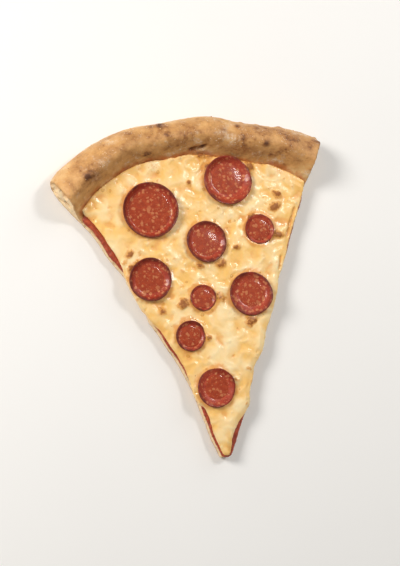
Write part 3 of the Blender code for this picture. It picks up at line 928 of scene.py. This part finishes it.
def round_shape(settings, number):
    place, tilt, radius, floor, shift = round_facts(number)
    numbers = {
        "Radius": radius,
        "Floor": floor,
        "Thickness": settings.thickness,
        "Height": CUP_HEIGHT_SHARE * radius,
        "Steepness": settings.steepness,
        "Wave": settings.wave,
        "Crinkle": settings.crinkle,
        "Number": float(number),
        "Segments": settings.segments // COARSENESS,
        "Rings": settings.rings // COARSENESS,
        "Place": tuple(place),
        "Tilt": tilt,
        "Shift": (*shift, 0.0),
    }
    shape = Shape("cupped round", numbers)
    count, steepness = shape.input("Number"), shape.input("Steepness")
    half = shape.input("Thickness") * 0.5
    side = shape.input("Radius") - shape.input("Floor")
    turn, out, aside = coin(shape, half)
    cosine, sine = shape.circle(turn)

    # The coin's side turned up into a cup, with an edge that rises and falls
    share = shape.within((out - shape.input("Floor")) / side)
    aside = aside * (1 - 0.35 * share)
    up = shape.input("Height") * share ** steepness
    rise = steepness * shape.input("Height") * share ** (steepness - 1)
    steep_cosine, steep_sine = shape.circle(shape.number("ARCTAN2", rise, side))
    ripple = shape.swing(shape.joined(cosine, sine, count * 3.7), 0.55)
    wave = shape.number("SINE", turn * 2.0 + count * 2.1)
    wave = wave + 0.6 * shape.number("SINE", turn * 3.0 + count * 1.3)
    up = (up + half) * (1 + shape.input("Wave") * wave * share)
    up = up + shape.input("Crinkle") * ripple * share * share
    out = out * (1 + 0.03 * ripple * share) - aside * steep_sine
    up = up + aside * steep_cosine
    cup = shape.joined(cosine * out, sine * out, up)
    cup = cup + shape.input("Shift") * (1 - share)
    grain = shape.swing(cup + shape.joined(count, count, 0.0), 2.4 * MM) * (0.05 * MM + share * (0.17 * MM))
    cup = cup + shape.joined(0.0, 0.0, grain)

    masks = {"rise": share, "char": share + 0.25 * ripple, "tone": shape.number("SINE", count * 2.7)}
    bent = shape.moved(shape.storing(shape.ball(), **masks), Position=cup)
    values = {"Geometry": bent, "Translation": shape.input("Place"), "Rotation": shape.input("Tilt")}
    shape.end(shape.add("GeometryNodeTransform", {}, values))
    return shape


def fat_flecks(look, point, size, widths, shares):
    """1 in the flecks of fat, which fill the middles of some of the cells."""
    near = look.cells(point, size)
    chosen = look.parts(near.output("Color"))[0]
    return look.smooth(near, *widths) * look.smooth(chosen, *shares)


def pepperoni_look(settings):
    look = Look(
        "cured pepperoni",
        Subsurface_Weight=0.12,
        Subsurface_Scale=1.5 * MM,
        Specular_IOR_Level=0.3,
        Coat_Roughness=0.1,
    )
    rise, tone = look.stored("rise"), look.stored("tone")
    shift = look.drift(look.point, 2.2 * MM) * (1.6 * MM)
    warped = look.point + shift
    mottle = look.noise(warped, 2.6 * MM, 4.0, 0.6)
    fat = fat_flecks(look, warped, 2.3 * MM, (0.46, 0.30), (0.42, 0.5))
    broad = fat_flecks(look, look.point + shift * 2.0, 4.6 * MM, (0.34, 0.20), (0.62, 0.66))
    small = fat_flecks(look, warped + (0.02, 0.01, 0.03), 1.0 * MM, (0.4, 0.25), (0.66, 0.7))
    fat = look.most(look.most(fat, broad * 0.8), small * 0.8)
    meat = look.blend(look.smooth(mottle, 0.35, 0.68), settings.deep, settings.red)
    meat = look.blend(look.smooth(rise, 0.1, 0.8) * 0.55 + 0.22 * tone, meat, settings.deep)
    colour = look.blend(fat * (0.75 - 0.45 * rise), meat, settings.fat)
    dark = look.smooth(look.stored("char") + (mottle - 0.5) * 1.1 + 0.08 * tone, 0.62, 1.08)
    look.feed("Base Color", look.blend(dark * 0.85, colour, settings.crisp))
    look.feed("Roughness", 0.36 + 0.2 * mottle + 0.12 * rise)
    look.feed("Coat Weight", look.smooth(rise, 0.95, 0.1) * 0.3 + 0.15)
    look.bump(mottle + fat * 0.5, 0.3 * MM, 0.5)
    return look.material


class PIZZA_OT_pepperoni(Operator):
    """Builds the nine cupped rounds of pepperoni"""

    bl_idname = "pizza.pepperoni"
    bl_label = "Pepperoni"

    def execute(self, context):
        settings = context.scene.pizza_pepperoni
        look = pepperoni_look(settings)
        for number, node in enumerate(ROUNDS, 1):
            piece = new_object(f"round_{number}", bpy.data.meshes.new(f"round_{number}"))
            round_shape(settings, number).put_on(piece, look)
            belongs(settled(piece), "pepperoni", node)
        return {"FINISHED"}


# Oil, flour and crumbs


def oil_look(name, colour, clearness):
    look = Look(name, IOR=1.46, Alpha=1 - clearness)
    drift = look.cloud(4 * MM, 3.0)
    look.feed("Base Color", look.blend(drift, colour, dimmed(colour, 0.7)))
    look.feed("Roughness", 0.05 + 0.08 * drift)
    look.bump(drift, 0.2 * MM, 0.12)
    return look.material


def pool_points(depth, thickness):
    """A point at the middle of each cup's floor, with the size and turn of its pool stored on it."""
    body = bmesh.new()
    sizes = body.verts.layers.float_vector.new("size")
    tilts = body.verts.layers.float_vector.new("tilt")
    for number in range(1, len(PEPPERONI) + 1):
        place, tilt, _, floor, shift = round_facts(number)
        turn = Matrix.Rotation(tilt[1], 3, "Y") @ Matrix.Rotation(tilt[0], 3, "X")
        middle = body.verts.new(place + turn @ Vector((*shift, thickness)))
        middle[sizes] = (floor * POOL_SHARE, floor * POOL_SHARE, depth)
        middle[tilts] = tilt
    return mesh_of("oil_pools", body)


def pool_shape():
    """Flattened spheres at the given points, with a slightly uneven outline."""
    shape = Shape("oil pools", {"Segments": POOL_SEGMENTS, "Rings": POOL_RINGS})
    tilt, size = (shape.stored(name, "FLOAT_VECTOR") for name in ("tilt", "size"))
    pools = shape.copies(shape.input("Geometry"), shape.ball(), tilt, size)
    spread = shape.drift(shape.point, 7 * MM) * (1.6 * MM, 1.6 * MM, 0.0)
    shape.end(shape.moved(pools, Offset=spread))
    return shape


def oily_cheese(shape):
    return shape.stored("oil")


def floury_rim(shape):
    radius = shape.length(away_from_centre(shape.point))
    patches = shape.smooth(shape.noise(shape.point, 12 * MM), 0.42, 0.62)
    return shape.smooth(radius, *STREWN_RIM) * patches * (1 - shape.stored("cut"))


def grain_shape(name, density, where, smallest, largest, flatness, subdivisions, sunk):
    """Grains strewn over the top of a given object, each turned to the surface."""
    numbers = {
        "Density": density,
        "Smallest": smallest,
        "Largest": largest,
        "Flatness": flatness,
        "Seed": PLACE_SEED,
    }
    shape = Shape(name, numbers, ("Ground",))
    level = shape.smooth(shape.parts(shape.normal())[2], 0.1, 0.6)
    here = where(shape) * level
    values = {
        "Mesh": shape.other_mesh("Ground"),
        "Density": shape.input("Density") * here,
        "Seed": shape.input("Seed"),
    }
    points = shape.add("GeometryNodeDistributePointsOnFaces", {}, values)
    grain = shape.add("GeometryNodeMeshIcoSphere", {}, {"Radius": 1.0, "Subdivisions": subdivisions})
    size = shape.random(shape.input("Smallest"), shape.input("Largest"), SIZE_SEED)
    stretch = shape.random(0.7, 1.3, STRETCH_SEED)
    scale = shape.joined(size * stretch, size, size * shape.input("Flatness"))
    grains = shape.copies(points, grain, points.output("Rotation"), scale)
    knock = shape.drift(shape.point, 1.2 * smallest + MM) * (smallest * 0.8)
    shape.end(shape.moved(grains, Offset=knock + (0.0, 0.0, -sunk)))
    return shape


def strewn(name, ground, density, where, grain, look):
    """A piece of many grains on a finished piece."""
    piece = new_object(name, bpy.data.meshes.new(name))
    grain_shape(name, density, where, *grain).put_on(piece, look, Ground=bpy.data.objects[ground])
    return settled(piece)


def flour_look():
    look = Look("flour", Roughness=0.95)
    look.feed("Base Color", look.blend(look.cloud(3 * MM), *FLOUR_SHADES))
    return look.material


def crumb_look():
    look = Look("toasted crumbs", Roughness=0.8)
    look.feed("Base Color", look.blend(look.smooth(look.cloud(2 * MM), 0.35, 0.65), *CRUMB_SHADES))
    look.bump(look.cloud(0.4 * MM), 0.15 * MM)
    return look.material


class PIZZA_OT_trimmings(Operator):
    """Adds the oil in the cups and on the cheese, and flour and crumbs on the rim"""

    bl_idname = "pizza.trimmings"
    bl_label = "Oil, flour and crumbs"

    def execute(self, context):
        settings = context.scene.pizza_trimmings
        thickness = context.scene.pizza_pepperoni.thickness
        pools = new_object("oil_pools", pool_points(settings.pool_depth, thickness))
        pool_shape().put_on(pools, oil_look("oil in the cups", settings.oil, clearness=0.72))
        belongs(settled(pools), "pepperoni")
        clear = oil_look("oil on the cheese", settings.thin_oil, clearness=0.7)
        beads = strewn("oil_beads", "cheese_layer", settings.beads, oily_cheese, OIL_BEAD, clear)
        belongs(beads, "melted_cheese")
        flour = strewn("flour_specks", "crust", settings.flour, floury_rim, FLOUR_SPECK, flour_look())
        belongs(flour, "baked_dough")
        crumbs = strewn("toasted_crumbs", "crust", settings.crumbs, floury_rim, TOASTED_CRUMB, crumb_look())
        belongs(crumbs, "baked_dough")
        return {"FINISHED"}


# The stage


def area_light(name, power, place, width, colour):
    """A round light that shines on the slice."""
    lamp = bpy.data.lights.new(name, "AREA")
    lamp.shape = "DISK"
    lamp.size = width
    lamp.energy = power
    lamp.color = colour
    thing = new_object(name, lamp)
    thing.location = place
    thing.rotation_euler = (-Vector(place)).to_track_quat("-Z", "Y").to_euler()


def table_look(settings):
    look = Look("pale table", Roughness=0.85)
    tone = look.cloud(120 * MM)
    look.feed("Base Color", look.blend(tone, settings.table, dimmed(settings.table, 0.97)))
    return look.material


def camera():
    lens = bpy.data.cameras.new("camera")
    lens.lens = LENS_MM
    lens.sensor_width = SENSOR_MM
    lens.clip_start = NEAREST
    lens.clip_end = FARTHEST
    lean = math.sin(CAMERA_LEAN)
    back = Vector((-lean * math.cos(CAMERA_SIDE), -lean * math.sin(CAMERA_SIDE), math.cos(CAMERA_LEAN)))
    upward = Vector((math.sin(CAMERA_ROLL), math.cos(CAMERA_ROLL), 0))
    right = upward.cross(back).normalized()
    turn = Matrix((right, back.cross(right), back)).transposed().to_4x4()
    thing = new_object("camera", lens)
    thing.matrix_world = Matrix.Translation(AIM + CAMERA_DISTANCE * back) @ turn
    bpy.context.scene.camera = thing


class PIZZA_OT_stage(Operator):
    """Adds the pale table, the lights and the camera"""

    bl_idname = "pizza.stage"
    bl_label = "Stage"

    def execute(self, context):
        settings = context.scene.pizza_stage
        body = bmesh.new()
        bmesh.ops.create_grid(body, x_segments=2, y_segments=2, size=TABLE_REACH)
        table = new_object("table", mesh_of("table", body))
        table.data.transform(Matrix.Translation((0, 0, -TABLE_DROP)))
        table.data.materials.append(table_look(settings))
        area_light("key light", settings.key, *KEY_LIGHT)
        area_light("gloss light", settings.gloss, *GLOSS_LIGHT)
        area_light("fill light", settings.fill, *FILL_LIGHT)
        world = context.scene.world or bpy.data.worlds.new("studio")
        context.scene.world = world
        world.use_nodes = True
        background = world.node_tree.nodes["Background"]
        background.inputs["Color"].default_value = SKY_COLOUR
        background.inputs["Strength"].default_value = settings.sky
        context.scene.view_settings.view_transform = "Standard"
        camera()
        return {"FINISHED"}


# The panel and the run


class PIZZA_PT_panel(Panel):
    """Lists the steps that build the slice"""

    bl_label = "Slice of pizza"
    bl_space_type = "VIEW_3D"
    bl_region_type = "UI"
    bl_category = "Pizza"

    def draw(self, context):
        for step in STEPS:
            self.layout.operator(step.bl_idname)


STEPS = (
    PIZZA_OT_crust,
    PIZZA_OT_sauce,
    PIZZA_OT_cheese,
    PIZZA_OT_pepperoni,
    PIZZA_OT_trimmings,
    PIZZA_OT_stage,
)
SETTINGS = {
    "pizza_crust": CrustSettings,
    "pizza_sauce": SauceSettings,
    "pizza_cheese": CheeseSettings,
    "pizza_pepperoni": PepperoniSettings,
    "pizza_trimmings": TrimmingsSettings,
    "pizza_stage": StageSettings,
}


def register():
    for kind in (*SETTINGS.values(), *STEPS, PIZZA_PT_panel):
        bpy.utils.register_class(kind)
    for name, kind in SETTINGS.items():
        setattr(bpy.types.Scene, name, PointerProperty(type=kind))


def unregister():
    for name in SETTINGS:
        delattr(bpy.types.Scene, name)
    for kind in (PIZZA_PT_panel, *reversed(STEPS), *reversed(SETTINGS.values())):
        bpy.utils.unregister_class(kind)


def main():
    register()
    bpy.ops.pizza.crust()
    bpy.ops.pizza.sauce()
    bpy.ops.pizza.cheese()
    bpy.ops.pizza.pepperoni()
    bpy.ops.pizza.trimmings()
    bpy.ops.pizza.stage()


if __name__ == "__main__":
    main()
